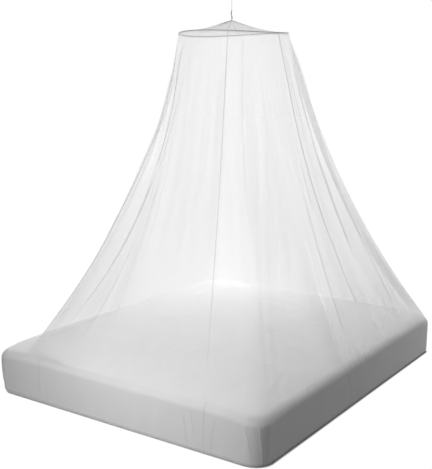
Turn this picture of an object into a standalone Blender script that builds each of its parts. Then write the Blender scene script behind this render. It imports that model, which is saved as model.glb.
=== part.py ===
"""A mosquito net canopy, hung from one cord and draped over a double mattress.

A wire hoop holds the net open. A shallow cone of net closes the top, and the skirt
falls from the hoop, spreads over the mattress and is drawn down round its sides.
Metres, +Z up, with the origin on the floor under the middle of the mattress.
+X is across the bed and +Y is towards its head.
"""
from collections import namedtuple
from math import atan2, cos, degrees, pi, radians, sin

import bmesh
import bpy
from mathutils import Vector

# Mattress
MATTRESS_WIDTH = 1.600
MATTRESS_LENGTH = 2.000
EDGE_HEIGHT = 0.230
CROWN = 0.010
CORNER_RADIUS = 0.090
INNER_CORNER = 0.030
TOP_ROUNDING = 0.075
FOOT_ROUNDING = 0.020
FOOT_CORNER_EXTRA = (0.030, 0.030, 0.060, 0.000)
CORNER_DROP = 0.15

# Hoop, which hangs a little tilted and is sprung a little out of flat
HOOP_RADIUS = 0.294
HOOP_WIRE = 0.0035
HOOP_CENTRE = Vector((-0.100, 0.130, 1.839))
HOOP_TILT = 0.0067
TILT_TOWARD = radians(60)
HOOP_WARP = 0.0068
WARP_TURN = radians(34)

# Net
NET_THICKNESS = 0.0015
NET_LIFT = 0.0070
HEM_TUCK = 0.70
SKIRT_TOP_RADIUS = 0.3024
SKIRT_TOP_DROP = 0.001
FALL_POWER = 2.2

# Hanging point, where the cone comes to its peak under the cord
HANG_X = -0.109
HANG_Y = 0.124
PEAK_HEIGHT = 1.909
CONE_POWER = 1.5
CONE_SAG = 0.005
SEAMS = 6
FIRST_SEAM = radians(-64)

# Hanging loop, cord and ceiling fitting
LOOP_WIDTH = 0.008
LOOP_THICKNESS = 0.003
LOOP_LENGTH = 0.046
LOOP_SWAY = 0.0012
CORD_DIAMETER = 0.002
CORD_LENGTH = 0.075
FITTING_NECK = 0.006
FITTING_PLATE = 0.020
FITTING_HEIGHT = 0.016

GAP = 0.0004

# Corners and sides go anticlockwise from the corner at +X and +Y. Each corner's arc has
# even steps, and a side has finer ones in the stretch by a corner that gathers many folds.
ARC_STEPS = 5
NEAR_SHARE = 0.21
Station = namedtuple("Station", "corner turn share")
Side = namedtuple("Side", "first_steps middle_steps last_steps")
SIDES = (
    Side(5, 6, 4),
    Side(4, 7, 6),
    Side(6, 6, 4),
    Side(4, 7, 5),
)

# How the skirt falls in each direction from the hoop. A taut one is straighter. It meets the
# mattress at touch: metres past the start of its rounded edge, or before it when negative.
Fall = namedtuple("Fall", "direction taut touch")
FALLS = (
    Fall(-122, 0.39, -0.055),
    Fall(-90, 0.50, 0.060),
    Fall(-52, 0.60, 0.064),
    Fall(-6, 0.75, 0.066),
    Fall(44, 0.57, 0.066),
    Fall(90, 0.52, 0.064),
    Fall(130, 0.46, 0.050),
    Fall(180, 0.38, 0.064),
)

# The main folds: their direction at the hoop and at the mattress, how far they stand out of
# the skirt or into it, half their width, and the shares of the fall between which they run.
Fold = namedtuple("Fold", "at_hoop at_edge depth half_width start end")
FOLDS = (
    Fold(-150, -140, 0.010, 7, 0.00, 0.95),
    Fold(-139, -131, -0.014, 5, 0.00, 0.98),
    Fold(-130, -123, 0.020, 5, 0.28, 1.00),
    Fold(-121, -117, -0.016, 5, 0.05, 0.98),
    Fold(-112, -110, 0.018, 5, 0.00, 0.98),
    Fold(-104, -103, -0.012, 5, 0.00, 0.95),
    Fold(-98, -91, 0.014, 6, 0.10, 0.97),
    Fold(-84, -80, -0.010, 7, 0.10, 0.92),
    Fold(-63, -62, 0.008, 5, 0.00, 0.95),
    Fold(-45, -46, -0.009, 7, 0.10, 0.92),
    Fold(-30, -30, -0.010, 6, 0.20, 0.95),
    Fold(-20, -20, 0.016, 6, 0.30, 1.00),
    Fold(-9, -7, -0.012, 6, 0.10, 0.97),
    Fold(5, 9, 0.016, 6, 0.00, 0.97),
    Fold(15, 20, -0.014, 5, 0.02, 0.97),
    Fold(22, 31, 0.016, 5, 0.00, 0.98),
    Fold(31, 39, -0.016, 5, 0.00, 0.99),
    Fold(40, 47, 0.010, 5, 0.00, 1.00),
    Fold(51, 55, -0.012, 6, 0.05, 0.97),
    Fold(65, 65, 0.009, 6, 0.00, 0.95),
    Fold(84, 80, -0.010, 8, 0.10, 0.90),
    Fold(104, 102, 0.009, 8, 0.20, 0.90),
    Fold(118, 117, -0.010, 6, 0.10, 0.95),
    Fold(129, 126, 0.014, 5, 0.10, 0.98),
    Fold(139, 134, -0.012, 5, 0.10, 0.95),
    Fold(158, 152, 0.010, 8, 0.10, 0.90),
    Fold(178, 176, -0.009, 8, 0.05, 0.92),
    Fold(196, 200, 0.010, 8, 0.15, 0.92),
)
FOLD_FADE = 0.16

# Rows: down the mattress's rounded edge, a few set lengths above it, and evenly to the hoop.
EDGE_STEPS = 5
LAST_EDGE_STEP = 3
LOW_ROWS = (0.0, 0.035, 0.075, 0.125)
FALL_ROWS = 14


def clear_scene():
    for thing in list(bpy.data.objects):
        bpy.data.objects.remove(thing, do_unlink=True)


def new_object(name, rings, material, closed_ends=(True, True), looped=False):
    """An object whose skin runs through rings of points, listed from the lowest up. A
    looped one goes on from its last ring to its first."""
    skin = bmesh.new()
    rows = [[skin.verts.new(point) for point in ring] for ring in rings]
    count = len(rows[0])
    for lower, upper in zip(rows, rows[1:] + rows[:1] if looped else rows[1:]):
        for i in range(count):
            j = (i + 1) % count
            skin.faces.new((lower[i], lower[j], upper[j], upper[i]))
    if closed_ends[0]:
        skin.faces.new(reversed(rows[0]))
    if closed_ends[1]:
        skin.faces.new(rows[-1])
    bmesh.ops.triangulate(skin, faces=[f for f in skin.faces if len(f.verts) > 4])
    mesh = bpy.data.meshes.new(name)
    skin.to_mesh(mesh)
    skin.free()
    mesh.shade_smooth()
    mesh.set_sharp_from_angle(angle=radians(50))
    mesh.materials.append(material)
    piece = bpy.data.objects.new(name, mesh)
    bpy.context.collection.objects.link(piece)
    return piece


def finish(name, colour, roughness, metallic=0.0, alpha=1.0):
    material = bpy.data.materials.new(name)
    material.use_nodes = True
    shader = material.node_tree.nodes["Principled BSDF"]
    shader.inputs["Base Color"].default_value = (*colour, 1.0)
    shader.inputs["Roughness"].default_value = roughness
    shader.inputs["Metallic"].default_value = metallic
    shader.inputs["Alpha"].default_value = alpha
    material.diffuse_color = (*colour, alpha)
    return material


def net_finish():
    return finish("white net", (0.86, 0.86, 0.87), 0.80, alpha=0.35)


def sheet_finish():
    return finish("white cotton", (0.80, 0.80, 0.81), 0.85)


def binding_finish():
    return finish("white tape", (0.74, 0.74, 0.75), 0.75)


def fitting_finish():
    return finish("white plastic", (0.85, 0.85, 0.85), 0.45)


def blend(low, high, share):
    share = min(max(share, 0.0), 1.0)
    return low + (high - low) * share * share * (3 - 2 * share)


def side_shares(side):
    """Where a straight side is cut, as shares of its length, without its two ends."""
    first, middle, last = side
    shares = [NEAR_SHARE * i / first for i in range(1, first)]
    shares += [NEAR_SHARE + (1 - 2 * NEAR_SHARE) * i / middle for i in range(middle + 1)]
    return shares + [1 - NEAR_SHARE * (last - i) / last for i in range(1, last)]


def stations():
    """The places round the mattress at which its outline and the skirt are worked out."""
    for corner, side in enumerate(SIDES):
        for step in range(ARC_STEPS + 1):
            yield Station(corner, pi / 2 * (corner + step / ARC_STEPS), 0)
        for share in side_shares(side):
            yield Station(corner, pi / 2 * (corner + 1), share)


def outline_point(station, inset):
    """A station's point on the mattress's outline drawn in by inset, and the way out."""
    radius = max(CORNER_RADIUS - inset, INNER_CORNER)
    half_x = MATTRESS_WIDTH / 2 - inset - radius
    half_y = MATTRESS_LENGTH / 2 - inset - radius
    arcs = [Vector((half_x * sx, half_y * sy)) for sx, sy in ((1, 1), (-1, 1), (-1, -1), (1, -1))]
    outward = Vector((cos(station.turn), sin(station.turn)))
    middle = arcs[station.corner].lerp(arcs[(station.corner + 1) % 4], station.share)
    return middle + outward * radius, outward


def settled(x, y, z):
    """The height z, lowered where the mattress thins towards its corners."""
    across = min(abs(x) / (MATTRESS_WIDTH / 2), 1)
    along = min(abs(y) / (MATTRESS_LENGTH / 2), 1)
    return z * (1 - CORNER_DROP * (across * along) ** 8)


def foot_rounding(station):
    """The radius of the mattress's bottom edge, which is larger round some corners."""
    return FOOT_ROUNDING + FOOT_CORNER_EXTRA[station.corner] * sin(2 * station.turn) ** 2


def over_edge(station, run, lift):
    """A point lift clear of the mattress, run metres past where its top edge starts to
    round: on the top when negative, then round the edge, down the side and under it."""
    foot = foot_rounding(station)
    side = EDGE_HEIGHT - TOP_ROUNDING - foot
    below = run - TOP_ROUNDING * pi / 2 - side
    if below <= 0:
        lean = min(max(run / TOP_ROUNDING, 0), pi / 2)
        inset = TOP_ROUNDING * (1 - sin(lean)) - min(run, 0)
        height = EDGE_HEIGHT - TOP_ROUNDING * (1 - cos(lean)) - max(below + side, 0)
    else:
        lean = pi / 2 + below / foot
        inset = foot * (1 - sin(lean))
        height = foot * (1 + cos(lean))
    inward = -min(run, 0) / (MATTRESS_WIDTH / 2 - TOP_ROUNDING)
    height += CROWN * (1 - (1 - inward) ** 2)
    place, outward = outline_point(station, inset)
    x, y = place + outward * lift * sin(lean)
    return Vector((x, y, settled(x, y, height) + lift * cos(lean)))


def run_to_foot(station):
    """How far it is along over_edge to where the bottom edge starts to round."""
    return TOP_ROUNDING * pi / 2 + EDGE_HEIGHT - TOP_ROUNDING - foot_rounding(station)


def hoop_height(turn):
    """How high the hoop's wire is in a direction from its centre."""
    tilt = HOOP_TILT * cos(turn - TILT_TOWARD)
    return HOOP_CENTRE.z + tilt + HOOP_WARP * sin(2 * (turn - WARP_TURN))


def fall_at(direction):
    """How taut the skirt is in a direction, in degrees, and where it meets the mattress."""
    for first, second in zip(FALLS, FALLS[1:] + FALLS[:1]):
        width = (second.direction - first.direction) % 360
        past = (direction - first.direction) % 360
        if past <= width:
            share = past / width
            return blend(first.taut, second.taut, share), blend(first.touch, second.touch, share)


def fold_depth(turn_degrees, share):
    """How far the folds push the skirt out at a direction and a share of its fall."""
    depth = 0.0
    for fold in FOLDS:
        middle = fold.at_hoop + (fold.at_edge - fold.at_hoop) * share
        off = abs((turn_degrees - middle + 180) % 360 - 180) / fold.half_width
        if off < 1 and fold.start <= share <= fold.end:
            entering = blend(0, 1, (share - fold.start) / FOLD_FADE)
            leaving = blend(0, 1, (fold.end - share) / FOLD_FADE)
            depth += fold.depth * cos(off * pi / 2) ** 2 * entering * leaving
    return depth


def make_mattress():
    quarter = TOP_ROUNDING * pi / 2
    columns = []
    for station in stations():
        foot, low = foot_rounding(station), run_to_foot(station)
        runs = [low + foot * pi / 2, low + foot * pi / 4, low, (low + quarter) / 2]
        runs += [quarter * step / EDGE_STEPS for step in range(EDGE_STEPS, -1, -1)]
        runs += [-0.10, -0.25, -0.42, -0.60]
        columns.append([over_edge(station, run, 0) for run in runs])
    return new_object("mattress", list(zip(*columns)), sheet_finish())


def fall_path(station):
    """The skirt over one station, as close points from the mattress's edge up to the hoop."""
    place, _ = outline_point(station, 0)
    centre = HOOP_CENTRE.to_2d()
    turn = atan2(place.y - centre.y, place.x - centre.x)
    taut, touch = fall_at(degrees(turn))
    last_run = TOP_ROUNDING * pi / 2 * LAST_EDGE_STEP / EDGE_STEPS
    path = [over_edge(station, last_run + (touch - last_run) * i / 8, NET_LIFT) for i in range(9)]
    foot = path[-1]
    rim = centre + Vector((cos(turn), sin(turn))) * SKIRT_TOP_RADIUS
    top = Vector((*rim, hoop_height(turn) - SKIRT_TOP_DROP))
    for i in range(63, -1, -1):
        share = i / 64
        point = top.lerp(foot, taut * share + (1 - taut) * share ** FALL_POWER)
        point.z = top.z + (foot.z - top.z) * share
        out = point.to_2d() - centre
        depth = fold_depth(degrees(atan2(out.y, out.x)), share)
        path.append(point + Vector((*out.normalized() * depth, 0)))
    return path


def cut_path(path):
    """The points of a path at the lengths of the skirt's rows, measured from its low end."""
    lengths = [0.0]
    for lower, upper in zip(path, path[1:]):
        lengths.append(lengths[-1] + (upper - lower).length)
    even = (lengths[-1] - LOW_ROWS[-1]) / FALL_ROWS
    wanted = list(LOW_ROWS) + [LOW_ROWS[-1] + even * i for i in range(1, FALL_ROWS)]
    points = []
    for length in wanted:
        i = max(k for k in range(len(path) - 1) if lengths[k] <= length)
        points.append(path[i].lerp(path[i + 1], (length - lengths[i]) / (lengths[i + 1] - lengths[i])))
    return points + [path[-1]]


def make_skirt():
    """The skirt's outer face, from its hem up to the hoop, then thickened inwards."""
    quarter = TOP_ROUNDING * pi / 2
    columns = []
    for station in stations():
        low = run_to_foot(station)
        runs = [low + foot_rounding(station) * HEM_TUCK, low, (low + quarter) / 2]
        runs += [quarter * step / EDGE_STEPS for step in range(EDGE_STEPS, LAST_EDGE_STEP, -1)]
        side = [over_edge(station, run, NET_LIFT) for run in runs]
        columns.append(side + cut_path(fall_path(station)))
    skirt = new_object("skirt_net", list(zip(*columns)), net_finish(), (False, False))
    thicken(skirt)
    return skirt


def thicken(piece):
    """Gives a sheet the net's thickness, behind the face that it was drawn with."""
    solid = piece.modifiers.new("thickness", "SOLIDIFY")
    solid.thickness = NET_THICKNESS
    solid.offset = -1
    solid.use_even_offset = True
    solid.use_rim = True


def make_hoop():
    around, section = 56, 8
    rings = []
    for i in range(around):
        turn = 2 * pi * i / around
        ring = []
        for j in range(section):
            tilt = -2 * pi * j / section
            reach = HOOP_RADIUS + HOOP_WIRE * cos(tilt)
            ring.append(Vector((HOOP_CENTRE.x + reach * cos(turn), HOOP_CENTRE.y + reach * sin(turn),
                                hoop_height(turn) + HOOP_WIRE * sin(tilt))))
        rings.append(ring)
    return new_object("hoop", rings, binding_finish(), (False, False), looped=True)


def cone_point(turn, share):
    """A point of the cone's upper face, a share of the way from its peak to the hoop."""
    reach = HOOP_RADIUS * share
    middle = Vector((HANG_X, HANG_Y)).lerp(HOOP_CENTRE.to_2d(), share)
    rim = hoop_height(turn) + HOOP_WIRE + GAP + NET_THICKNESS
    level = HOOP_CENTRE.z + (rim - HOOP_CENTRE.z) * share ** 2
    height = level + (PEAK_HEIGHT - HOOP_CENTRE.z) * (1 - share) ** CONE_POWER
    between_seams = sin((turn - FIRST_SEAM) * SEAMS / 2) ** 2
    height -= CONE_SAG * 4 * share * (1 - share) * between_seams
    return Vector((middle.x + reach * cos(turn), middle.y + reach * sin(turn), height))


def make_cone():
    around = 48
    shares = (1.0, 0.93, 0.82, 0.68, 0.52, 0.36, 0.20, 0.08, 0.02)
    turns = [2 * pi * i / around for i in range(around)]
    rings = [[cone_point(turn, share) for turn in turns] for share in shares]
    cone = new_object("cone_net", rings, net_finish(), (False, True))
    thicken(cone)
    return cone


def make_hanging_loop():
    """Tape doubled on itself, sewn to the peak and given half a twist by the cord."""
    steps = 10
    base = PEAK_HEIGHT + GAP
    rings = []
    for step in range(steps + 1):
        share = step / steps
        twist = pi * share + WARP_TURN
        sway = LOOP_SWAY * sin(2 * pi * share)
        wide = Vector((cos(twist), sin(twist), 0)) * LOOP_WIDTH / 2
        thick = Vector((-sin(twist), cos(twist), 0)) * LOOP_THICKNESS / 2
        middle = Vector((HANG_X + sway, HANG_Y, base + LOOP_LENGTH * share))
        rings.append([middle + wide + thick, middle - wide + thick, middle - wide - thick,
                      middle + wide - thick])
    return new_object("hanging_loop", rings, binding_finish())


def make_hanging_cord():
    bottom = PEAK_HEIGHT + GAP + LOOP_LENGTH + GAP
    points = 16
    path = bpy.data.curves.new("hanging_cord", "CURVE")
    path.dimensions = "3D"
    path.bevel_depth = CORD_DIAMETER / 2
    path.bevel_resolution = 2
    path.use_fill_caps = True
    spline = path.splines.new("POLY")
    spline.points.add(points - 1)
    for i, point in enumerate(spline.points):
        point.co = (HANG_X, HANG_Y, bottom + CORD_LENGTH * i / (points - 1), 1)
    path.materials.append(binding_finish())
    cord = bpy.data.objects.new("hanging_cord", path)
    bpy.context.collection.objects.link(cord)
    return cord


def make_ceiling_fitting():
    """A turned cup: a neck that the cord goes into, under a plate that lies on the ceiling."""
    bottom = PEAK_HEIGHT + GAP + LOOP_LENGTH + GAP + CORD_LENGTH + GAP
    profile = (
        (FITTING_NECK - 0.001, 0),
        (FITTING_NECK, 0.001),
        (FITTING_NECK, 0.006),
        (FITTING_NECK + 0.003, 0.009),
        (FITTING_PLATE - 0.002, 0.011),
        (FITTING_PLATE, 0.013),
        (FITTING_PLATE, FITTING_HEIGHT),
    )
    around = 24
    rings = []
    for radius, height in profile:
        turns = [2 * pi * i / around for i in range(around)]
        rings.append([Vector((HANG_X + radius * cos(t), HANG_Y + radius * sin(t), bottom + height))
                      for t in turns])
    return new_object("ceiling_fitting", rings, fitting_finish())


clear_scene()
make_mattress()
make_skirt()
make_cone()
make_hoop()
make_hanging_loop()
make_hanging_cord()
make_ceiling_fitting()
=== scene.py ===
import random
from collections import namedtuple
from math import cos, pi, radians, sin

import bpy
import numpy as np
from mathutils import Matrix, Vector


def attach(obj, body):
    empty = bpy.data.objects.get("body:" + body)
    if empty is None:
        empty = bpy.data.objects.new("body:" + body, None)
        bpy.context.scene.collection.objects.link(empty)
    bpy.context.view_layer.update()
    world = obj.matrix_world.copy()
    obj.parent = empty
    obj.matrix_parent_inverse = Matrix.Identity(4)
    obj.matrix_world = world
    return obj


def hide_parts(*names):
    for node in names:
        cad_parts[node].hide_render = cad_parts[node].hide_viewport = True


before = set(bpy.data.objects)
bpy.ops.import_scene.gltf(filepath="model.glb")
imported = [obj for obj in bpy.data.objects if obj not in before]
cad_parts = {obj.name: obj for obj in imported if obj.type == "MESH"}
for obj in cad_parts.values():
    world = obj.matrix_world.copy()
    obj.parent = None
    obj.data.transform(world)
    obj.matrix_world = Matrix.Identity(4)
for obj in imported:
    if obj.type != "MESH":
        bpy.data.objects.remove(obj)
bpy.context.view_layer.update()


# The camera. The canopy is seen with a long lens from beyond the foot of the bed, off its
# right corner, 1.58 m up and looking a little down, so the mattress shows through the net.

lens = bpy.data.cameras.new("camera")
lens.lens = 63.93
camera = bpy.data.objects.new("camera", lens)
bpy.context.collection.objects.link(camera)
camera.matrix_world = (
    Matrix.Translation((2.42, -3.765, 1.58))
    @ Matrix.Rotation(radians(33.89), 4, "Z")
    @ Matrix.Rotation(radians(79.60), 4, "X")
    @ Matrix.Rotation(radians(0.75), 4, "Z")
)
bpy.context.scene.camera = camera


# The hanging cord: three plies of white thread laid into a thin cord. It is knotted through
# the tape loop on the canopy's peak and runs taut up to its fitting on the ceiling.

hang_x, hang_y = -0.109, 0.124
peak_height = 1.909
loop_length = 0.046
cord_diameter = 0.002
cord_length = 0.075
sewing_gap = 0.0004
cord_bottom = peak_height + loop_length + 2 * sewing_gap
cord_lay = 0.009
cord_sides = 24


def joined(name, points, material, ends=(False, False)):
    """A smooth piece whose faces join a grid of points, given row by row. Each row closes
    on itself, and an end can be closed with one more face."""
    points = np.asarray(points, float)
    rows, columns = points.shape[:2]
    number = np.arange(rows * columns).reshape(rows, columns)
    here = np.arange(columns)
    there = (here + 1) % columns
    faces = np.stack([number[:-1][:, here], number[:-1][:, there],
                      number[1:][:, there], number[1:][:, here]], -1).reshape(-1, 4).tolist()
    if ends[0]:
        faces.append(number[0][::-1].tolist())
    if ends[1]:
        faces.append(number[-1].tolist())
    mesh = bpy.data.meshes.new(name)
    mesh.from_pydata(points.reshape(-1, 3).tolist(), [], faces)
    mesh.shade_smooth()
    mesh.materials.append(material)
    piece = bpy.data.objects.new(name, mesh)
    bpy.context.collection.objects.link(piece)
    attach(piece, "root")
    return piece


def finish(name, colour, roughness):
    """A new material whose one shader has that colour and roughness."""
    material = bpy.data.materials.new(name)
    material.use_nodes = True
    shader = material.node_tree.nodes["Principled BSDF"]
    shader.inputs["Base Color"].default_value = (*colour, 1)
    shader.inputs["Roughness"].default_value = roughness
    return material


def node(material, kind, inputs, **settings):
    """A node of that kind in a material. Each input is a number, a colour or another
    node's output."""
    tree = material.node_tree
    made = tree.nodes.new("ShaderNode" + kind)
    for setting, value in settings.items():
        setattr(made, setting, value)
    for socket, value in inputs.items():
        if isinstance(value, bpy.types.NodeSocket):
            tree.links.new(value, made.inputs[socket])
        else:
            made.inputs[socket].default_value = value
    return made


def to_shader(material, socket, output):
    """Joins a node's output to a socket of the material's one shader."""
    material.node_tree.links.new(output, material.node_tree.nodes["Principled BSDF"].inputs[socket])


def spun_thread(name, colour, dull_colour, size, depth):
    """Spun thread: fine fibres that lie along the height, lighter and darker, as a bump."""
    material = finish(name, colour, 0.8)
    place = node(material, "TexCoord", {})
    along = node(material, "Mapping", {"Vector": place.outputs["Object"], "Scale": (1, 1, 0.15)})
    fibres = node(material, "TexNoise", {"Vector": along.outputs[0], "Scale": 1 / size,
                                         "Detail": 4})
    colours = node(material, "Mix", {"Factor": fibres.outputs["Fac"], "A": (*dull_colour, 1),
                                     "B": (*colour, 1)}, data_type="RGBA")
    raised = node(material, "Bump", {"Height": fibres.outputs["Fac"], "Distance": depth,
                                     "Strength": 0.8})
    to_shader(material, "Base Color", colours.outputs["Result"])
    to_shader(material, "Normal", raised.outputs[0])
    return material


cord_thread = spun_thread("cord thread", (0.90, 0.90, 0.90), (0.66, 0.66, 0.67), 0.0006, 0.0002)


def laid_cord(heights, wide, plies, lay):
    """The skin of a cord whose plies are laid round each other as they rise."""
    turns = np.linspace(0, 2 * pi, cord_sides, endpoint=False)
    rows = []
    for height in heights:
        bulge = np.abs(np.cos((turns - 2 * pi * height / lay) * plies / 2))
        reach = wide / 2 * (0.80 + 0.22 * bulge)
        rows.append(np.stack([hang_x + reach * np.cos(turns), hang_y + reach * np.sin(turns),
                              np.full(cord_sides, height)], -1))
    return rows


cord_heights = np.linspace(cord_bottom, cord_bottom + cord_length, 90)
cord = joined("cord", laid_cord(cord_heights, cord_diameter, 3, cord_lay), cord_thread,
              ends=(True, True))
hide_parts("hanging_cord")


# The ceiling fitting: a turned cup of white plastic. Its plate lies on the ceiling and the
# cord goes up into its neck, just above the top of the view.

fitting_bottom = cord_bottom + cord_length + sewing_gap
fitting_sides = 64

# How far each turned edge of the cup is from its middle, and how high above its neck.
fitting_profile = (
    (0.0022, 0.0006), (0.0044, 0.0000), (0.0056, 0.0004), (0.0060, 0.0012), (0.0060, 0.0058),
    (0.0066, 0.0078), (0.0090, 0.0092), (0.0140, 0.0102), (0.0180, 0.0112), (0.0194, 0.0120),
    (0.0200, 0.0132), (0.0200, 0.0156), (0.0197, 0.0160),
)

moulded_plastic = finish("moulded plastic", (0.84, 0.84, 0.84), 0.42)
grain_place = node(moulded_plastic, "TexCoord", {})
grain = node(moulded_plastic, "TexNoise", {"Vector": grain_place.outputs["Object"],
                                           "Scale": 900, "Detail": 2})
grain_bump = node(moulded_plastic, "Bump", {"Height": grain.outputs["Fac"], "Distance": 0.0001,
                                            "Strength": 0.3})
to_shader(moulded_plastic, "Normal", grain_bump.outputs[0])

turned = []
turns = np.linspace(0, 2 * pi, fitting_sides, endpoint=False)
for reach, height in fitting_profile:
    turned.append(np.stack([hang_x + reach * np.cos(turns), hang_y + reach * np.sin(turns),
                            np.full(fitting_sides, fitting_bottom + height)], -1))
fitting = joined("fitting", turned, moulded_plastic, ends=(True, True))
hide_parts("ceiling_fitting")


# The knot: the cord's own end, of the same white thread, passed through the tape loop and
# wound two and a half times round itself. It sits on the loop's top.

knot_rows = []
knot_turns, knot_steps, knot_thread = 2.5, 96, 0.0009
knot_reach, knot_rise, knot_drop = 0.0017, 0.0034, 0.0012
for step in range(knot_steps + 1):
    turn = 2 * pi * knot_turns * step / knot_steps
    height = cord_bottom - knot_drop + knot_rise * step / knot_steps
    middle = np.array([hang_x + knot_reach * cos(turn), hang_y + knot_reach * sin(turn), height])
    out, up = np.array([cos(turn), sin(turn), 0]), np.array([0, 0, 1])
    sides = np.linspace(0, 2 * pi, 10, endpoint=False)
    knot_rows.append([middle + knot_thread * (out * cos(a) + up * sin(a)) for a in sides])
knot = joined("knot", knot_rows, cord_thread, ends=(True, True))


# The hoop: a ring of sprung wire, bound with narrow white tape and sewn into the seam
# between cone and skirt. It hangs a little tilted and is sprung a little out of flat.

hoop_radius = 0.294
hoop_wire = 0.0021
hoop_centre = Vector((-0.100, 0.130, 1.839))
hoop_tilt, tilt_toward = 0.0067, radians(60)
hoop_warp, warp_turn = 0.0068, radians(34)
binding_turns = 210
binding_step = 0.00035


def hoop_height(turn):
    """How high the hoop's wire is in a direction from its centre."""
    return (hoop_centre.z + hoop_tilt * np.cos(turn - tilt_toward)
            + hoop_warp * np.sin(2 * (turn - warp_turn)))


def woven_tape(name, colour, shade, pitch):
    """Narrow tape in plain weave: crossing ribs that tint the cloth and raise it."""
    material = finish(name, colour, 0.85)
    place = node(material, "TexCoord", {})
    ribs = [node(material, "TexWave", {"Vector": place.outputs["Object"], "Scale": 1 / pitch,
                                       "Distortion": 0.6, "Detail": 1}, bands_direction=way)
            for way in ("DIAGONAL", "Z")]
    weave = node(material, "Math", {0: ribs[0].outputs["Fac"], 1: ribs[1].outputs["Fac"]},
                 operation="MULTIPLY")
    tint = node(material, "Mix", {"Factor": weave.outputs[0], "A": (*shade, 1),
                                  "B": (*colour, 1)}, data_type="RGBA")
    raised = node(material, "Bump", {"Height": weave.outputs[0], "Distance": 0.0002,
                                     "Strength": 0.5})
    to_shader(material, "Base Color", tint.outputs["Result"])
    to_shader(material, "Normal", raised.outputs[0])
    return material


hoop_tape = woven_tape("hoop tape", (0.90, 0.90, 0.91), (0.82, 0.82, 0.83), 0.0016)

around_hoop, around_wire = 840, 12
turns = np.linspace(0, 2 * pi, around_hoop, endpoint=False)[:, None]
tilts = np.linspace(0, 2 * pi, around_wire, endpoint=False)[None, :]
lap = (turns * binding_turns + tilts) / (2 * pi) % 1
wire = hoop_wire - binding_step * (1 - lap)
hoop_skin = np.stack([hoop_centre.x + (hoop_radius + wire * np.cos(tilts)) * np.cos(turns),
                      hoop_centre.y + (hoop_radius + wire * np.cos(tilts)) * np.sin(turns),
                      hoop_height(turns) + wire * np.sin(tilts)], -1)
hoop_skin = np.concatenate([hoop_skin, hoop_skin[:1]])
hoop = joined("bound_hoop", hoop_skin[:, ::-1], hoop_tape)
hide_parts("hoop")


# The hanging loop: soft tape doubled on itself and sewn to the peak of the cone, where the
# cord's pull has given it a twist. It is what the knot is tied through.

loop_width, loop_sway, loop_twist = 0.0062, 0.0024, 1.7 * pi
tape_half_thickness, strand_reach = 0.0010, 0.0008
loop_base = 1.9068
loop_top = cord_bottom - sewing_gap
# The loop is white tape. The grey given to it here is painted shade.
painted_shade_loop_tape = woven_tape("loop tape with painted shade", (0.62, 0.62, 0.63), (0.50, 0.50, 0.51), 0.0014)

for strand, phase in (("loop_tape_1", 0.0), ("loop_tape_2", pi)):
    rows = []
    for share in np.linspace(0, 1, 60):
        twist = loop_twist * share + phase + warp_turn
        narrowing = 0.70 + 0.30 * sin(pi * share) ** 0.7
        away = Vector((cos(twist), sin(twist), 0))
        across = Vector((-sin(twist), cos(twist), 0))
        middle = Vector((hang_x + loop_sway * sin(2 * pi * share), hang_y,
                         loop_base + (loop_top - loop_base) * share)) + away * strand_reach
        ring = []
        for a in np.linspace(0, 2 * pi, 16, endpoint=False):
            ring.append(middle + across * (loop_width / 2 * narrowing * cos(a))
                        + away * (tape_half_thickness * sin(a)))
        rows.append(ring)
    tape = joined(strand, rows, painted_shade_loop_tape, ends=(True, True))
    if strand == "loop_tape_1":
        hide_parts("hanging_loop")


# The cone: a shallow disc of the same sheer net, cut in six wedges that are seamed together
# and gathered at the peak under the loop. Its edge is sewn down over the hoop.

net_pitch = 0.0014
hole_cover, thread_cover = 0.08, 0.50
streaks_across, streaks_down = 26, 0.8
loosest, closest = 0.80, 1.20
shine_through, shine_fall = 0.5, -0.8
cloth_widths, widths_apart = 8, 2.0
seams, first_seam = 6, radians(-64)
cone_power, cone_sag = 1.5, 0.005
net_thickness = 0.0015


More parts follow.
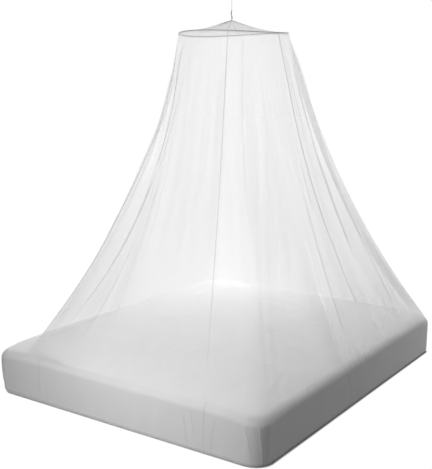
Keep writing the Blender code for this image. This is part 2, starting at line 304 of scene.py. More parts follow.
def net_finish(name, thread):
    """Knitted net: six-sided holes a set pitch apart. What a bare hole lets through is not
    quite all, because threads blur at its rim. Doubled net lets less through, and less of
    the light on its far side shines through its threads. Down its length the net is drawn
    a little closer here and there."""
    material = bpy.data.materials.new(name)
    material.use_nodes = True
    tree = material.node_tree
    tree.nodes.clear()
    half_row = (0.5, 3 ** 0.5 / 2, 0.5)
    other_way = (-0.5, -(3 ** 0.5) / 2, -0.5)
    place = node(material, "UVMap", {}, uv_map="cloth")
    cells = node(material, "VectorMath", {0: place.outputs[0], "Scale": 1 / net_pitch},
                 operation="SCALE")
    moved = node(material, "VectorMath", {0: cells.outputs[0], 1: half_row}, operation="ADD")
    near = [node(material, "VectorMath", {0: grid.outputs[0], 1: half_row, 2: other_way},
                 operation="WRAP") for grid in (cells, moved)]
    reach = [node(material, "VectorMath", {0: one.outputs[0]}, operation="LENGTH")
             for one in near]
    second = node(material, "Math", {0: reach[1].outputs["Value"], 1: reach[0].outputs["Value"]},
                  operation="LESS_THAN")
    inside = node(material, "Mix", {"Factor": second.outputs[0], "A": near[0].outputs[0],
                                    "B": near[1].outputs[0]}, data_type="VECTOR")
    folded = node(material, "VectorMath", {0: inside.outputs["Result"]}, operation="ABSOLUTE")
    slanted = node(material, "VectorMath", {0: folded.outputs[0], 1: (0.5, 3 ** 0.5 / 2, 0)},
                   operation="DOT_PRODUCT")
    straight = node(material, "SeparateXYZ", {0: folded.outputs[0]})
    rim = node(material, "Math", {0: slanted.outputs["Value"], 1: straight.outputs[0]},
               operation="MAXIMUM")
    threads = node(material, "MapRange", {"Value": rim.outputs[0], "From Min": 0.40,
                                          "From Max": 0.46, "To Min": hole_cover,
                                          "To Max": thread_cover})
    open_share = node(material, "Math", {0: 1.0, 1: threads.outputs[0]}, operation="SUBTRACT")
    drape = node(material, "VectorMath", {0: place.outputs[0],
                                          1: (streaks_across, streaks_down, 1)},
                 operation="MULTIPLY")
    closeness = node(material, "TexNoise", {"Vector": drape.outputs[0], "Scale": 1,
                                            "Detail": 2})
    uneven = node(material, "MapRange", {"Value": closeness.outputs["Fac"], "From Min": 0.30,
                                         "From Max": 0.70, "To Min": loosest,
                                         "To Max": closest})
    drawn_up = node(material, "Attribute", {}, attribute_name="layers")
    layers = node(material, "Math", {0: drawn_up.outputs["Fac"], 1: uneven.outputs[0]},
                  operation="MULTIPLY")
    open_through = node(material, "Math", {0: open_share.outputs[0], 1: layers.outputs[0]},
                        operation="POWER")
    front = node(material, "BsdfDiffuse", {"Color": (*thread, 1)})
    back = node(material, "BsdfTranslucent", {"Color": (*thread, 1)})
    holes = node(material, "BsdfTransparent", {})
    at_least_one = node(material, "Math", {0: layers.outputs[0], 1: 1.0}, operation="MAXIMUM")
    dimmed = node(material, "Math", {0: at_least_one.outputs[0], 1: shine_fall},
                  operation="POWER")
    through = node(material, "Math", {0: dimmed.outputs[0], 1: shine_through},
                   operation="MULTIPLY")
    both = node(material, "MixShader", {0: through.outputs[0], 1: front.outputs[0],
                                        2: back.outputs[0]})
    cloth = node(material, "MixShader", {0: open_through.outputs[0], 1: both.outputs[0],
                                         2: holes.outputs[0]})
    node(material, "OutputMaterial", {"Surface": cloth.outputs[0]})
    return material


def in_cloth_metres(piece, points, layers):
    """Gives a piece of net its own flat measures, for its weave, and its layers of cloth.
    The measures across it start from the middle of each of its widths, as its grain does."""
    rows, columns = points.shape[:2]
    along = np.roll(points, -1, 1) - points
    wide = np.cumsum(np.linalg.norm(along, axis=2), axis=1)
    wide = np.concatenate([np.zeros((rows, 1)), wide], 1)
    long = np.cumsum(np.linalg.norm(np.diff(points, axis=0), axis=2), axis=0)
    long = np.concatenate([np.zeros((1, columns)), long])
    long = np.concatenate([long, long[:, :1]], 1)
    here = np.arange(columns)
    width = here * cloth_widths // columns
    middles = np.searchsorted(width, np.arange(cloth_widths)) + columns // (2 * cloth_widths)
    grain = wide[:, middles[width]] - widths_apart * width
    upper, lower = slice(None, -1), slice(1, None)
    corners = np.stack([
        np.stack([wide[row][:, column] - grain[row], long[row][:, column]], -1)
        for row, column in ((upper, here), (upper, here + 1), (lower, here + 1), (lower, here))
    ], 2).reshape(-1, 2)
    mesh = piece.data
    mesh.uv_layers.new(name="cloth").data.foreach_set("uv", corners.ravel())
    mesh.attributes.new("layers", "FLOAT", "POINT").data.foreach_set("value", layers.ravel())


sheer_net = net_finish("sheer net", (0.84, 0.84, 0.85))

cone_rows, cone_columns = 60, 360
cone_lap, cone_lap_drop = 1.012, 0.004
gather_rise, gather_start, gather_reach = 0.0016, 0.12, 0.55
cone_shares = np.concatenate([[cone_lap], np.linspace(1, 0.02, cone_rows)])[:, None]
cone_turns = np.linspace(0, 2 * pi, cone_columns, endpoint=False)[None, :]


def cone_height(turn, share):
    """How high the cone is in a direction, a share of the way from its peak to the hoop."""
    rim = hoop_height(turn) + hoop_wire + sewing_gap + net_thickness
    level = hoop_centre.z + (rim - hoop_centre.z) * share ** 2
    height = level + (peak_height - hoop_centre.z) * np.maximum(1 - share, 0) ** cone_power
    between_seams = np.sin((turn - first_seam) * seams / 2) ** 2
    return height - cone_sag * 4 * share * (1 - share) * between_seams


gathers = (np.sin(29 * cone_turns + 2.1 * np.sin(3 * cone_turns))
           + 0.6 * np.sin(47 * cone_turns + 1.4 * np.sin(5 * cone_turns + 1)))
gather_depth = (gather_rise * np.clip(cone_shares / gather_start, 0, 1)
                * np.clip(1 - cone_shares / gather_reach, 0, 1))
cone_reach = hoop_radius * cone_shares
cone_skin = np.stack([
    hang_x + (hoop_centre.x - hang_x) * cone_shares + cone_reach * np.cos(cone_turns),
    hang_y + (hoop_centre.y - hang_y) * cone_shares + cone_reach * np.sin(cone_turns),
    cone_height(cone_turns, np.minimum(cone_shares, 1)) + gathers * gather_depth
    - cone_lap_drop * (cone_shares > 1)], -1)
wedge, seam_width = 2 * pi / seams, 0.006
to_seam = np.abs((cone_turns - first_seam + wedge / 2) % wedge - wedge / 2) * cone_reach
on_seam = np.clip(1 - to_seam / seam_width, 0, 1)
at_peak = np.clip(1 - cone_shares / 0.10, 0, 1)
on_hoop = cone_shares > 0.985
cone_layers = 1.8 + 3.0 * on_seam + 4.0 * at_peak + 1.5 * on_hoop
cone = joined("cone", cone_skin, sheer_net)
in_cloth_metres(cone, cone_skin, cone_layers)
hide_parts("cone_net")


# The mattress: a sprung double mattress in a plain white fitted sheet of woven cotton. It
# stands on the floor, its edges rounded and its corners drawn thin, and the net lies over it.

mattress_width, mattress_length = 1.600, 2.000
edge_height, crown = 0.230, 0.010
corner_radius, inner_corner = 0.090, 0.030
top_rounding, foot_edge = 0.042, 0.012
foot_corner_extra = np.array([0.030, 0.030, 0.155, 0.000])
corner_drop, corner_sharpness = 0.15, 8

arc_steps, side_steps = 16, 150
corner = np.repeat(np.arange(4), arc_steps + side_steps)
step = np.tile(np.arange(arc_steps + side_steps), 4)
side_share = np.maximum(step - arc_steps, 0) / side_steps
way_out = pi / 2 * (corner + np.minimum(step, arc_steps) / arc_steps)
outward = np.stack([np.cos(way_out), np.sin(way_out)], -1)
corner_signs = np.array([(1, 1), (-1, 1), (-1, -1), (1, -1)])
foot_rounding = foot_edge + foot_corner_extra[corner] * np.sin(2 * way_out) ** 2
quarter = top_rounding * pi / 2
run_to_foot = quarter + edge_height - top_rounding - foot_rounding


def outline(inset):
    """The mattress's outline, drawn in by inset, at each place round it."""
    radius = np.maximum(corner_radius - inset, inner_corner)
    half = np.array([mattress_width, mattress_length]) / 2 - (inset + radius)[..., None]
    first, second = half * corner_signs[corner], half * corner_signs[(corner + 1) % 4]
    return first + (second - first) * side_share[:, None] + outward * radius[..., None]


def over_edge(run, lift):
    """Points lift clear of the mattress, run metres past where its top edge starts to round:
    on the top when negative, then round the edge, down the side and under it."""
    run = run + np.zeros_like(foot_rounding)
    lift = lift + np.zeros_like(run)
    side = edge_height - top_rounding - foot_rounding
    below = run - quarter - side
    above = below <= 0
    lean = np.where(above, np.clip(run / top_rounding, 0, pi / 2), pi / 2 + below / foot_rounding)
    inward = -np.minimum(run, 0)
    inset = np.where(above, top_rounding * (1 - np.sin(lean)) + inward,
                     foot_rounding * (1 - np.sin(lean)))
    height = np.where(above, edge_height - top_rounding * (1 - np.cos(lean))
                      - np.maximum(below + side, 0), foot_rounding * (1 + np.cos(lean)))
    height = height + crown * (1 - (1 - inward / (mattress_width / 2 - top_rounding)) ** 2)
    place = outline(inset) + outward * (lift * np.sin(lean))[..., None]
    across = np.minimum(np.abs(place[..., 0]) / (mattress_width / 2), 1)
    along = np.minimum(np.abs(place[..., 1]) / (mattress_length / 2), 1)
    thinned = corner_drop * (across * along) ** corner_sharpness
    height = height * (1 - thinned) + lift * np.cos(lean)
    return np.concatenate([place, height[..., None]], -1)


def soft_waves(points, seed, count, length, strength):
    """Small uneven rises and hollows: a sum of slow waves in seeded directions."""
    chance = random.Random(seed)
    rise = np.zeros(points.shape[:-1])
    for _ in range(count):
        way = Vector([chance.gauss(0, 1) for _ in range(3)]).normalized()
        size = length * chance.uniform(0.6, 1.7)
        rise += np.sin(points @ np.array(way) * 2 * pi / size + chance.uniform(0, 2 * pi))
    return strength * rise / count ** 0.5


# The sheet's wrinkles on the top, each a soft ridge, or a trough when its rise is negative,
# that runs from its first point through its second to its third and fades out at both ends.
Wrinkle = namedtuple("Wrinkle", "first second third rise half_width")
sheet_wrinkles = (
    Wrinkle((-0.49, -0.20), (-0.18, -0.68), (-0.09, -0.85), 0.00442, 0.0225),
    Wrinkle((-0.44, -0.24), (-0.14, -0.70), (-0.06, -0.84), -0.00374, 0.0210),
    Wrinkle((-0.32, -0.53), (-0.22, -0.72), (-0.13, -0.90), 0.00408, 0.0180),
    Wrinkle((-0.33, -0.31), (-0.20, -0.49), (-0.07, -0.66), 0.00306, 0.0195),
    Wrinkle((-0.15, -0.65), (-0.07, -0.76), (0.01, -0.88), -0.00374, 0.0165),
    Wrinkle((0.22, -0.28), (0.31, -0.38), (0.41, -0.49), 0.00340, 0.0225),
    Wrinkle((0.47, -0.39), (0.60, -0.50), (0.65, -0.72), 0.00442, 0.0195),
    Wrinkle((0.58, -0.44), (0.64, -0.56), (0.67, -0.71), -0.00408, 0.0165),
    Wrinkle((0.40, -0.52), (0.50, -0.60), (0.57, -0.74), 0.00340, 0.0195),
    Wrinkle((0.52, -0.16), (0.60, -0.25), (0.69, -0.34), -0.00306, 0.0225),
    Wrinkle((0.10, 0.42), (0.24, 0.30), (0.33, 0.10), 0.00340, 0.0300),
    Wrinkle((-0.30, 0.52), (-0.10, 0.64), (0.14, 0.60), -0.00340, 0.0300),
)
top_from = 0.15


def wrinkle_rise(points, wrinkle):
    """How high a wrinkle lifts the sheet at each point of the mattress's top."""
    rise = np.zeros(points.shape[:-1])
    first, second, third = (np.array(point) for point in wrinkle[:3])
    for share in np.linspace(0, 1, 33):
        place = ((1 - share) ** 2 * first + share ** 2 * third
                 + 2 * share * (1 - share) * (2 * second - (first + third) / 2))
        off = np.linalg.norm(points[..., :2] - place, axis=-1) / wrinkle.half_width
        rise = np.maximum(rise, np.exp(-off ** 2) * sin(pi * share) ** 0.6)
    return wrinkle.rise * rise * (points[..., 2] > top_from)


woven_cotton = finish("woven cotton", (0.82, 0.82, 0.825), 0.9)
cotton_place = node(woven_cotton, "TexCoord", {})
cotton_threads = [node(woven_cotton, "TexWave", {"Vector": cotton_place.outputs["Object"],
                                                 "Scale": 260, "Distortion": 0.5},
                       bands_direction=way) for way in "XYZ"]
crossed = node(woven_cotton, "Math", {0: cotton_threads[0].outputs["Fac"],
                                      1: cotton_threads[1].outputs["Fac"]}, operation="ADD")
crossed = node(woven_cotton, "Math", {0: crossed.outputs[0], 1: cotton_threads[2].outputs["Fac"]},
               operation="ADD")
slubs = node(woven_cotton, "TexNoise", {"Vector": cotton_place.outputs["Object"], "Scale": 9,
                                        "Detail": 5})
cotton_tint = node(woven_cotton, "Mix", {"Factor": slubs.outputs["Fac"],
                                         "A": (0.80, 0.80, 0.805, 1), "B": (0.84, 0.84, 0.845, 1)},
                   data_type="RGBA")
cotton_bump = node(woven_cotton, "Bump", {"Height": crossed.outputs[0], "Distance": 0.0002,
                                          "Strength": 0.35})
to_shader(woven_cotton, "Base Color", cotton_tint.outputs["Result"])
to_shader(woven_cotton, "Normal", cotton_bump.outputs[0])

foot_rows, plain_rows, rounding_rows, top_rows = 6, 14, 12, 52
every_place = np.ones_like(run_to_foot)
mattress_runs = np.concatenate([
    run_to_foot + foot_rounding * pi / 2 * np.linspace(1, 0.15, foot_rows)[:, None],
    quarter + (run_to_foot - quarter) * np.linspace(1, 0, plain_rows)[:, None],
    quarter * np.linspace(0.92, 0, rounding_rows)[:, None] * every_place,
    -np.linspace(0.012, 0.66, top_rows)[:, None] * every_place])
mattress_skin = over_edge(mattress_runs, 0)
mattress_out = over_edge(mattress_runs, 1) - mattress_skin

# The sheet's hollows: slow waves, shorter ones drawn out along the bed, and the wrinkles. They
# lie under the net by sheet_sink, and the taut sides have only a small share of them.
sheet_sink, share_on_sides = 0.0050, 0.12
drawn = np.array([[0.9, 0.35, 0], [-0.45, 0.30, 0], [0, 0, 0.5]])
dimple = soft_waves(mattress_skin, 4, 14, 0.28, 0.0014) - sheet_sink
dimple += soft_waves(mattress_skin @ drawn, 7, 9, 0.10, 0.0013)
for wrinkle in sheet_wrinkles:
    dimple += wrinkle_rise(mattress_skin, wrinkle)
on_top = np.clip((mattress_skin[..., 2] - 0.20) / 0.03, 0, 1)
dimple = dimple * (share_on_sides + (1 - share_on_sides) * on_top)
mattress_skin = mattress_skin + mattress_out * np.minimum(dimple, 0)[..., None]
mattress = joined("mattress_sheet", mattress_skin, woven_cotton, ends=(True, True))
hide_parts("mattress")


# The skirt: sheer white knitted net, seamed into one tube that hangs from the hoop. It spreads
# over the mattress, is drawn down round its sides and has its hem tucked under the edge.

net_lift = 0.0018
hem_tuck = 0.70
fall_power = 2.2
skirt_top_radius, skirt_top_rise = 0.2990, 0.0022

# How the skirt falls in each direction from the hoop: a taut one is straighter. It meets the
# mattress at touch: metres past the start of its rounded edge, or before it when negative.
Fall = namedtuple("Fall", "direction taut touch")
falls = (
    Fall(-122, 0.385, -0.094),
    Fall(-90, 0.50, 0.034),
    Fall(-52, 0.60, 0.036),
    Fall(-6, 0.75, 0.036),
    Fall(44, 0.545, 0.036),
    Fall(90, 0.52, 0.034),
    Fall(130, 0.46, 0.028),
    Fall(180, 0.38, 0.034),
)

# The main folds: their direction at the hoop and at the mattress, how far they stand out of
# the skirt or into it, half their width in degrees, and where on the fall they start and end.
Fold = namedtuple("Fold", "at_hoop at_edge depth half_width start end")
folds = (
    Fold(-150, -140, 0.010, 7, 0.00, 0.95),
    Fold(-139, -131, -0.010, 5, 0.00, 0.98),
    Fold(-130, -123, 0.015, 5, 0.28, 0.75),
    Fold(-121, -117, -0.016, 5, 0.05, 0.98),
    Fold(-112, -110, 0.018, 5, 0.00, 0.98),
    Fold(-104, -103, -0.012, 5, 0.00, 0.95),
    Fold(-98, -91, 0.014, 6, 0.10, 0.97),
    Fold(-84, -80, -0.005, 7, 0.10, 0.92),
    Fold(-63, -62, 0.003, 8, 0.00, 0.95),
    Fold(-45, -46, -0.005, 7, 0.10, 0.92),
    Fold(-30, -30, -0.010, 6, 0.20, 0.95),
    Fold(-20, -20, 0.016, 6, 0.30, 1.00),
    Fold(-9, -7, -0.012, 6, 0.10, 0.97),
    Fold(5, 9, 0.016, 6, 0.00, 0.97),
    Fold(15, 20, -0.014, 5, 0.02, 0.97),
    Fold(22, 31, 0.016, 5, 0.00, 0.98),
    Fold(31, 39, -0.016, 5, 0.00, 0.99),
    Fold(40, 47, 0.010, 5, 0.00, 1.00),
    Fold(51, 55, -0.012, 6, 0.05, 0.97),
    Fold(65, 65, 0.009, 6, 0.00, 0.95),
    Fold(84, 80, -0.010, 8, 0.10, 0.90),
    Fold(104, 102, 0.009, 8, 0.20, 0.90),
    Fold(118, 117, -0.010, 6, 0.10, 0.95),
    Fold(129, 126, 0.014, 5, 0.10, 0.98),
    Fold(139, 134, -0.012, 5, 0.10, 0.95),
    Fold(158, 152, 0.010, 8, 0.10, 0.90),
    Fold(178, 176, -0.009, 8, 0.05, 0.92),
    Fold(196, 200, 0.010, 8, 0.15, 0.92),
)
fold_fade = 0.16

# The fine creases and the seams, by direction. A bow carries a crease to one side halfway
# down. Half widths are in metres: all the way for a seam, which has no pinch, and 0.6 m from
# the hoop's middle for a crease, which widens as it goes down. A pinch over 0.3 laps the
# cloth over itself. Shares past 1 are below the mattress's edge, and a crease that starts
# there keeps its width, and runs from its first direction there to its second at the hem,
# while the others keep their second one all the way below the edge. Layers says how
# close the net is drawn together on the crease, or how many thicknesses a seam has. Beside
# and low say how close the cloth after it is, in the upper and lower half of the skirt.
Crease = namedtuple("Crease", "at_hoop at_edge bow depth half_width pinch start end"
                              " layers beside low")
creases = [
    Crease(-141, -121, 5, 0.005, 0.013, 0.85, 0.00, 1.02, 4.4, 2.4, 5.4),
    Crease(-130, -117, -2, 0.009, 0.019, 0.40, 0.08, 0.97, 2.1, 1.4, 3.4),
    Crease(-121, -114, -1, 0.009, 0.022, 0.25, 0.20, 0.98, 2.1, 0.3, 1.3),
    Crease(-112, -112, 8, 0.012, 0.016, 0.65, 0.00, 0.50, 2.0, 0.3, 1.9),
    Crease(-111.9, -111.9, 8, 0.015, 0.028, 0.20, 0.42, 0.94, 2.3, 0.5, 1.9),
    Crease(-109, -109, 8.5, 0.006, 0.012, 0.45, 0.12, 0.50, 1.6, 0.4, 0.9),
    Crease(-107.7, -111.6, 0, 0.007, 0.009, 0.45, 1.01, 1.14, 2.0, 1, 1),
    Crease(-104, -101, 5, 0.011, 0.024, 0.40, 0.60, 0.97, 1.8, 0.7, 1.9),
    Crease(-100, -90, 0, 0.012, 0.030, 0.22, 0.42, 0.96, 2.1, 0.7, 1.2),
    Crease(-66.6, -64.8, 0, 0.004, 0.008, 0.40, 1.04, 1.14, 1.4, 1, 1),
    Crease(-64.7, -63.2, 0, 0.005, 0.008, 0.40, 1.02, 1.12, 1.5, 1, 1),
    Crease(-62.5, -61.8, 0, 0.002, 0.0045, 0.00, 0.00, 1.15, 5, 1, 1),
    Crease(-59.2, -60.4, 0, 0.005, 0.008, 0.40, 1.03, 1.14, 1.4, 1, 1),
    Crease(-54.2, -52.7, 0, 0.005, 0.008, 0.40, 1.01, 1.12, 1.5, 1, 1),
    Crease(-51.8, -51.0, 0, 0.006, 0.008, 0.50, 1.01, 1.15, 1.8, 1, 1),
    Crease(-49.4, -49.9, 0, 0.005, 0.008, 0.40, 1.02, 1.14, 1.5, 1, 1),
    Crease(-22, -20.8, -2, 0.010, 0.011, 0.40, 0.60, 1.02, 1.3, 0.6, 0.8),
    Crease(-20.4, -14.6, 0, 0.006, 0.012, 0.25, 1.01, 1.14, 1.1, 1, 1),
    Crease(-19, -14, -1, 0.005, 0.010, 0.50, 0.45, 0.98, 1.4, 0.9, 1.2),
    Crease(-15, -10, 0, 0.006, 0.010, 0.60, 0.36, 0.60, 1.4, 1, 1.2),
    Crease(1.8, 5.6, 2, 0.005, 0.010, 0.40, 0.14, 0.42, 1.1, 0.9, 1.2),
    Crease(9, 20, 0, 0.008, 0.012, 0.60, 0.36, 0.74, 1.4, 0.8, 1.5),
    Crease(23, 28, 1, 0.012, 0.032, 0.50, 0.00, 0.96, 1.2, 1.1, 3.0),
    Crease(40, 42, 1, 0.006, 0.013, 0.85, 0.00, 1.02, 2.4, 1.2, 2.4),
    Crease(51, 43, -3, 0.006, 0.012, 0.45, 0.00, 0.50, 1.2, 0.4, 1.5),
    Crease(58.9, 56.4, 0, 0.005, 0.008, 0.50, 0.05, 0.42, 1.2, 0.3, 1.4),
    Crease(61.8, 60.4, 0, 0.005, 0.008, 0.55, 0.02, 0.36, 1.4, 0.4, 1.4),
    Crease(65, 65, 0, 0.002, 0.0062, 0.00, 0.00, 1.15, 11, 1, 1.2),
    Crease(112.5, 106.5, 4, 0.002, 0.0070, 0.00, 0.00, 1.15, 2, 1, 1),
]

# Between those, each stretch of the skirt has a run of smaller creases, unevenly spaced. They
# crowd together where the net is drawn hard towards a corner of the mattress.
Gather = namedtuple("Gather", "first last count depth half_width pinch layers beside low")
gathers_round = (
    Gather(-176, -146, 4, 0.004, 0.010, 0.50, 1.1, 0.3, 1.4),
    Gather(-137, -133, 1, 0.005, 0.010, 0.60, 2.2, 2.4, 4.4),
    Gather(-90, -67, 3, 0.002, 0.014, 0.10, 1.05, 0.95, 1.0),
    Gather(-48, -27, 4, 0.003, 0.014, 0.15, 1.2, 1.05, 1.3),
    Gather(-9, 0, 2, 0.004, 0.010, 0.20, 1.2, 1.0, 1.2),
    Gather(12, 18, 1, 0.005, 0.010, 0.40, 1.15, 0.8, 1.4),
    Gather(28, 37, 2, 0.005, 0.010, 0.60, 1.5, 1.1, 3.0),
    Gather(70, 108, 5, 0.003, 0.014, 0.15, 1.1, 0.95, 1.2),
    Gather(117, 148, 6, 0.003, 0.014, 0.15, 1.1, 0.9, 1.0),
    Gather(154, 178, 3, 0.003, 0.014, 0.20, 1.1, 0.7, 1.0),
)
order_from = -62.6


def eased(share):
    """A share that starts and ends softly."""
    share = np.clip(share, 0, 1)
    return share * share * (3 - 2 * share)


def fall_at(direction):
    """How taut the skirt is in each direction, in degrees, and where it meets the mattress."""
    taut, touch = np.zeros_like(direction), np.zeros_like(direction)
    for first, second in zip(falls, falls[1:] + falls[:1]):
        width = (second.direction - first.direction) % 360
        past = (direction - first.direction) % 360
        share = eased(past / width)
        here = past <= width
        taut[here] = (first.taut + (second.taut - first.taut) * share)[here]
        touch[here] = (first.touch + (second.touch - first.touch) * share)[here]
    return taut, touch


def fold_depth(direction, share):
    """How far the main folds push the skirt out at each direction and share of its fall."""
    depth = np.zeros_like(direction + share)
    for fold in folds:
        middle = fold.at_hoop + (fold.at_edge - fold.at_hoop) * share
        off = np.abs((direction - middle + 180) % 360 - 180) / fold.half_width
        fading = eased((share - fold.start) / fold_fade) * eased((fold.end - share) / fold_fade)
        depth += fold.depth * np.cos(np.minimum(off, 1) * pi / 2) ** 2 * fading
    return depth


def fine_creases():
    """Every crease and seam in order round the skirt, with the small ones filled in."""
    chance = random.Random(11)
    all_round = list(creases)
    for run in gathers_round:
        for i in range(run.count):
            place = (i + chance.uniform(0.2, 0.8)) / run.count
            at_hoop = run.first + (run.last - run.first) * place
            start = chance.choice((0.0, 0.0, 0.05, 0.15, 0.30))
            end = chance.uniform(0.70, 1.02)
            way = 1 if i % 2 else -0.7
            all_round.append(Crease(
                at_hoop, at_hoop + chance.uniform(-2, 2), chance.uniform(-1.5, 1.5),
                way * run.depth * chance.uniform(0.6, 1.3),
                run.half_width * chance.uniform(0.8, 1.3),
                run.pinch * chance.uniform(0.6, 1.2), start, end,
                run.layers, run.beside, run.low))
    return sorted(all_round, key=lambda crease: (crease.at_hoop - order_from) % 360)


# The skirt before its folds, at each place round the mattress and each row down it.
fall_rows, edge_rows = 68, 30
edge_span = 0.15
centre = np.array(hoop_centre.xy)
away = outline(np.zeros_like(foot_rounding)) - centre
facing = np.unwrap(np.arctan2(away[:, 1], away[:, 0]))
taut, touch = fall_at(np.degrees(facing))
channel_rows = (0.0, 0.003, 0.006, 0.007)
below_channel = np.linspace(0.015, 1, fall_rows - 3)[:-1] ** 0.95
fall_share = np.concatenate([channel_rows, below_channel])[:, None]
foot = over_edge(touch, net_lift)
rim = centre + skirt_top_radius * np.stack([np.cos(facing), np.sin(facing)], -1)
top = np.concatenate([rim, (hoop_height(facing) + skirt_top_rise)[:, None]], 1)
spread = (taut * fall_share + (1 - taut) * fall_share ** fall_power)[..., None]
hanging = top + (foot - top) * spread
hanging[..., 2] = top[:, 2] + (foot[:, 2] - top[:, 2]) * fall_share
edge_share = np.linspace(0, 1, edge_rows)[:, None]
last_run = run_to_foot + foot_rounding * hem_tuck
edge_runs = touch + (last_run - touch) * edge_share ** 1.15
lying = over_edge(edge_runs, net_lift)
smooth_skirt = np.concatenate([hanging, lying])
skirt_share = np.concatenate([fall_share[:, 0], 1 + edge_span * edge_share[:, 0]])

# The way that a fold stands out: level from the hoop's middle, or square to the mattress.
level = np.concatenate([hanging[..., :2] - centre, np.zeros(hanging.shape[:2] + (1,))], -1)
level /= np.linalg.norm(level, axis=-1, keepdims=True)
square = over_edge(edge_runs, net_lift + 1) - lying
stands_out = np.concatenate([level, square])

# Where the falling net meets the mattress it bends softly, over a few rows each way.
for _ in range(3):
    inner = slice(fall_rows - 5, fall_rows + 5)
    for grid in (smooth_skirt, stands_out):
        above, below = grid[fall_rows - 6:fall_rows + 4], grid[fall_rows - 4:fall_rows + 6]
        grid[inner] = (above + 2 * grid[inner] + below) / 4

# Columns: nine across each crease, and a few in the plain cloth up to the next. No crease
# crosses the one before it: each keeps a least gap, in degrees.
lines = fine_creases()
least_gap, widest_plain = 0.8, 0.028
share_rows = skirt_share[:, None]
hang_share = np.minimum(share_rows, 1)
line = {name: np.array([getattr(one, name) for one in lines], float) for name in Crease._fields}
below_edge = line["start"] > 1
down = np.where(below_edge, np.maximum(share_rows - 1, 0) / edge_span, hang_share)
middle = line["at_hoop"] + (line["at_edge"] - line["at_hoop"]) * down
middle += line["bow"] * np.sin(pi * hang_share)
middle = (middle - order_from) % 360 + order_from
order = least_gap * np.arange(len(lines))
middle = np.maximum.accumulate(middle - order, axis=1) + order
reach = np.linalg.norm(smooth_skirt[..., :2] - centre, axis=-1)
facing_degrees = np.degrees(facing)


def at_directions(values, directions):
    """What a value given round the smooth skirt is, row by row, at other directions."""
    return np.stack([np.interp(row_directions, facing_degrees, row, period=360)
                     for row, row_directions in zip(values, directions)])


line_reach = at_directions(reach, middle)
gap = np.diff(np.concatenate([middle, middle[:, :1] + 360], 1), axis=1)
room = np.minimum(gap, np.roll(gap, 1, axis=1))
widening = np.where((line["pinch"] == 0) | below_edge, 1,
                    (np.minimum(line_reach, 1) / 0.6) ** 1.5)
half = np.minimum(np.degrees(line["half_width"] * widening / line_reach), 0.45 * room)
across_crease = np.array([-1, -0.72, -0.46, -0.24, 0, 0.24, 0.46, 0.72, 1])
direction, shift, depth, layers = [], [], [], []
fade = np.where(below_edge, 0.02, 0.10)
fading = eased((share_rows - line["start"]) / fade) * eased((line["end"] - share_rows) / fade)
fading = np.where(line["pinch"] == 0, 1, fading)
lower = eased((skirt_share - 0.35) / 0.55)
for k in range(len(lines)):
    following = (k + 1) % len(lines)
    for off in across_crease:
        direction.append(middle[:, k] + off * half[:, k])
        shift.append(-line["pinch"][k] * sin(pi * off) * half[:, k] * fading[:, k])
        depth.append(line["depth"][k] * cos(off * pi / 2) ** 2 * fading[:, k])
        if line["pinch"][k] == 0:
            layers.append(np.full(len(fading), line["layers"][k] if abs(off) < 0.6 else 1))
        else:
            layers.append(1 + (line["layers"][k] - 1) * cos(off * pi / 2) ** 2 * fading[:, k])
    start = middle[:, k] + half[:, k]
    stop = middle[:, k] + gap[:, k] - half[:, following]
    plain_width = np.max(np.radians(stop - start) * line_reach[:, k])
    plain = int(np.clip(plain_width / widest_plain, 1, 6))
    for i in range(1, plain + 1):
        direction.append(start + (stop - start) * i / (plain + 1))
        shift.append(0 * start)
        depth.append(0 * start)
        closing = fading[:, k] + (fading[:, following] - fading[:, k]) * i / (plain + 1)
        beside = line["beside"][k] + (line["low"][k] - line["beside"][k]) * lower
        layers.append(1 + (beside - 1) * closing)
direction, shift, depth, layers = (
    np.stack(part, 1) for part in (direction, shift, depth, layers))
depth = depth * np.where(share_rows > 1, 0.5, 1)
depth = np.where(share_rows > 0.97, np.maximum(depth, 0), depth)
depth = depth * eased(share_rows / 0.03)
shown = direction + shift
skirt_skin = np.stack([at_directions(smooth_skirt[..., i], shown) for i in range(3)], -1)
out_way = np.stack([at_directions(stands_out[..., i], shown) for i in range(3)], -1)
main = fold_depth((direction + 180) % 360 - 180, hang_share) * (share_rows <= 1)
skirt_skin = skirt_skin + out_way * (main + depth)[..., None]

# How close the net is drawn. It closes as it falls, more so on the right, and bunches just
# above the right and left corners of the mattress. It is more open high on the left. The extra
# closeness on the right is partly painted shade, and the openness high on the left is partly
# painted light. Below the edge it lies closer, and its channel and hem are several cloths thick.
closing_down, closing_right_partly_painted_shade = 0.45, 0.55
bunch_right, bunch_left = 3.2, 1.7
open_left_partly_painted_light = 0.32
tucked, in_channel, in_hem = 1.8, 1.4, 5
to_right = np.maximum(np.cos(np.radians(direction - 25)), 0)
to_left = np.maximum(np.cos(np.radians(direction + 140)), 0)
free = share_rows < 1.02
bunching = (bunch_right * to_right ** 2 + bunch_left * to_left ** 2) * hang_share ** 7 * free
skirt_layers = layers * (1 + (closing_down + closing_right_partly_painted_shade * to_right * free) * hang_share ** 2
                         + bunching)
skirt_layers *= 1 - open_left_partly_painted_light * to_left ** 0.5 * (1 - 0.7 * hang_share)
skirt_layers[~free[:, 0]] *= tucked
skirt_layers[:3] += in_channel
skirt_layers[-2:] += in_hem
skirt = joined("skirt", skirt_skin[:, ::-1], sheer_net)
in_cloth_metres(skirt, skirt_skin[:, ::-1], skirt_layers[:, ::-1])
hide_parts("skirt_net")
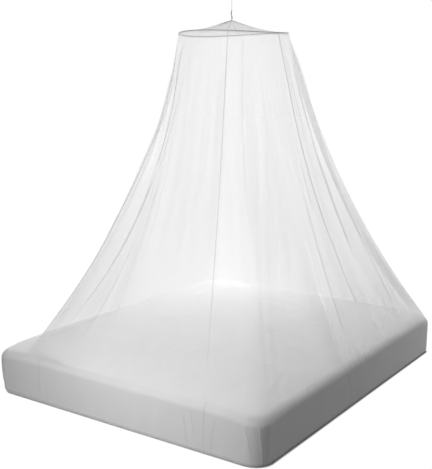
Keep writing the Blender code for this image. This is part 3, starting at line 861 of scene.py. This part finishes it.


# The floor and the light: a pale studio floor and backdrop, with a painted shadow that darkens
# the floor only where the mattress stands on it. A large soft box from behind on the left leaves
# the right side in shade, and weak ones reach the left side, the far top, the left edge, the
# right side and the front.

world = bpy.data.worlds.new("studio")
bpy.context.scene.world = world
world.use_nodes = True
world.node_tree.nodes.clear()
seen = node(world, "LightPath", {})
brightness = node(world, "MapRange", {"Value": seen.outputs["Is Camera Ray"],
                                      "To Min": 0.36, "To Max": 1.0})
backdrop = node(world, "Background", {"Color": (1, 1, 1, 1), "Strength": brightness.outputs[0]})
node(world, "OutputWorld", {"Surface": backdrop.outputs[0]})
bpy.context.scene.view_settings.view_transform = "Standard"

floor_finish = bpy.data.materials.new("studio floor")
floor_finish.use_nodes = True
floor_finish.node_tree.nodes.clear()
# Seen from the camera the floor glows evenly. A painted shadow dims that glow wherever ambient
# occlusion, tilted towards the left and the front, finds the mattress close by.
painted_shadow_reach = 0.014
floor_seen = node(floor_finish, "LightPath", {})
floor_paper = node(floor_finish, "BsdfDiffuse", {"Color": (0.06, 0.06, 0.06, 1)})
floor_shade = node(floor_finish, "BsdfDiffuse", {"Color": (0.03, 0.03, 0.03, 1)})
painted_shadow_tilt = node(floor_finish, "CombineXYZ", {0: -0.60, 1: -0.75, 2: 0.28})
painted_shadow_occlusion = node(floor_finish, "AmbientOcclusion", {"Distance": painted_shadow_reach,
                                                      "Normal": painted_shadow_tilt.outputs[0]}, samples=16)
painted_shadow_strength = node(floor_finish, "MapRange", {"Value": painted_shadow_occlusion.outputs["AO"], "From Min": 0.55,
                                             "From Max": 0.92, "To Min": 0.04, "To Max": 0.989})
floor_glow_with_painted_shadow = node(floor_finish, "Emission", {"Color": (1, 1, 1, 1),
                                             "Strength": painted_shadow_strength.outputs[0]})
floor_seen_with_painted_shadow = node(floor_finish, "AddShader", {0: floor_shade.outputs[0],
                                               1: floor_glow_with_painted_shadow.outputs[0]})
floor_look = node(floor_finish, "MixShader", {0: floor_seen.outputs["Is Camera Ray"],
                                              1: floor_paper.outputs[0],
                                              2: floor_seen_with_painted_shadow.outputs[0]})
node(floor_finish, "OutputMaterial", {"Surface": floor_look.outputs[0]})
floor_half, floor_level = 30, -0.0005
floor_corners = [(x, y, floor_level) for y in (-floor_half, floor_half)
                 for x in (-floor_half, floor_half)]
floor_mesh = bpy.data.meshes.new("floor")
floor_mesh.from_pydata(floor_corners, [], [(0, 1, 3, 2)])
floor_mesh.materials.append(floor_finish)
floor = bpy.data.objects.new("floor", floor_mesh)
bpy.context.collection.objects.link(floor)


def soft_light(name, place, aim, size, power):
    """A square soft box at a place, facing a point."""
    data = bpy.data.lights.new(name, "AREA")
    data.size = size
    data.energy = power
    lamp = bpy.data.objects.new(name, data)
    bpy.context.collection.objects.link(lamp)
    lamp.location = place
    lamp.rotation_euler = (Vector(aim) - Vector(place)).to_track_quat("-Z", "Y").to_euler()
    lamp.visible_camera = False


soft_light("key light", (-0.7, 3.2, 2.8), (-0.1, 0.4, 0.4), 1.8, 143)
soft_light("window light", (-2.8, 0.6, 1.0), (-0.4, 0.0, 1.0), 1.2, 10)
soft_light("far light", (-1.3, 2.0, 1.4), (-0.5, 0.4, 0.25), 1.2, 14)
soft_light("left light", (-1.45, -0.3, 0.44), (-0.7, -0.3, 0.25), 0.5, 1.7)
soft_light("side light", (2.4, 2.1, 0.3), (0.8, 0.9, 0.1), 0.8, 9.1)
soft_light("front light", (0.14, -2.12, 0.64), (0.0, -1.0, 0.15), 0.6, 10.4)
